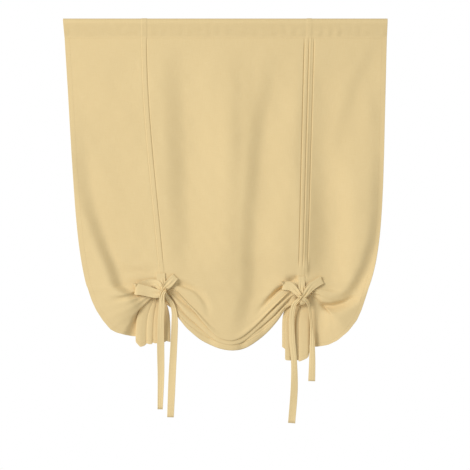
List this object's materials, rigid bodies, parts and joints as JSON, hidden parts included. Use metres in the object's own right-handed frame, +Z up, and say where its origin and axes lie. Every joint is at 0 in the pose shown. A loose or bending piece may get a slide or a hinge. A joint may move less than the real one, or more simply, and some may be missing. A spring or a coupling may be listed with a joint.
{
  "type": "tie up curtain",
  "caption": "Tie up curtain: a cloth panel with a rod pocket, gathered near its bottom at two seams by ribbon ties in bows, with a swag between them.",
  "frame": {"origin": "centre of the rod pocket, on the axis of the rod, half way across the panel", "axes": "+X along the rod, to the right of a person in front; +Z up; -Y towards that person"},
  "size_m": [1.168, 0.1178, 1.4577],
  "materials": {
    "cloth": "matte",
    "ribbon": "matte"
  },
  "bodies": {
    "root": {"curtain_panel": "cloth", "tie_left_front": "ribbon", "tie_left_back": "ribbon", "tie_right_front": "ribbon", "tie_right_back": "ribbon"}
  },
  "joints": []
}
